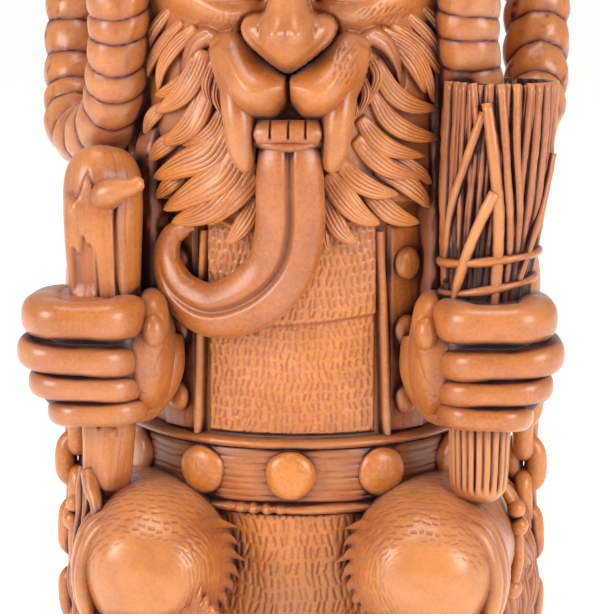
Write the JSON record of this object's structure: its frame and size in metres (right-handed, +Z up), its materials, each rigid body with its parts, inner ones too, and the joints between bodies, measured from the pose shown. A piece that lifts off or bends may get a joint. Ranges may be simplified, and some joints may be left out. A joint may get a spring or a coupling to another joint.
{
  "type": "tiki mug",
  "caption": "Tall ceramic cocktail mug sculpted as a squatting horned beast with a curled tongue, a club and a bundle of twigs.",
  "frame": {"origin": "middle of the vessel's foot, on the surface it stands on", "axes": "+Z up along the vessel's axis, -Y the way the face looks, +X to the right of someone who faces it"},
  "size_m": [0.1206, 0.096, 0.197],
  "materials": {
    "vessel": "satin brown glaze over buff clay, dark stain in the hollows, fine brown wash inside",
    "skin": "satin caramel-brown glaze, dark stain wiped into the folds, rubbed lighter on the high spots",
    "hair": "satin brown glaze over combed locks, dark stain between them",
    "horn": "satin caramel-brown glaze over ringed horn, dark stain in the rings",
    "cloth": "satin brown glaze over a dashed, tool-marked cloth texture",
    "wood": "satin brown glaze over carved grain, dark stain in the cracks",
    "iron": "satin brown glaze over smooth domes and links, dark stain round their edges"
  },
  "bodies": {
    "root": {"back_hair": "hair", "belt_band": "cloth", "belt_lower_edge": "cloth", "belt_stud_1": "iron", "belt_stud_10": "iron", "belt_stud_2": "iron", "belt_stud_3": "iron", "belt_stud_4": "iron", "belt_stud_5": "iron", "belt_stud_6": "iron", "belt_stud_7": "iron", "belt_stud_8": "iron", "belt_stud_9": "iron", "belt_upper_edge": "cloth", "brow_ridge": "skin", "club": "wood", "face_plate": "skin", "forelock": "hair", "left_arm": "skin", "left_bead_cord": "iron", "left_beard": "hair", "left_chain": "iron", "left_eye": "skin", "left_fang": "skin", "left_fist": "skin", "left_hoof": "horn", "left_horn": "horn", "left_leg": "hair", "left_piping": "cloth", "left_strap": "cloth", "left_strap_stud_1": "iron", "left_strap_stud_2": "iron", "left_strap_stud_3": "iron", "lower_binding": "wood", "mug_body": "vessel", "muzzle": "skin", "nose": "skin", "right_arm": "skin", "right_bead_cord": "iron", "right_beard": "hair", "right_chain": "iron", "right_eye": "skin", "right_fang": "skin", "right_fist": "skin", "right_hoof": "horn", "right_horn": "horn", "right_leg": "hair", "right_piping": "cloth", "right_strap": "cloth", "right_strap_stud_1": "iron", "right_strap_stud_2": "iron", "right_strap_stud_3": "iron", "tongue": "skin", "tunic_back": "cloth", "tunic_front": "cloth", "tunic_skirt": "cloth", "twig_bundle": "wood", "upper_binding": "wood", "upper_teeth": "skin"}
  },
  "joints": []
}
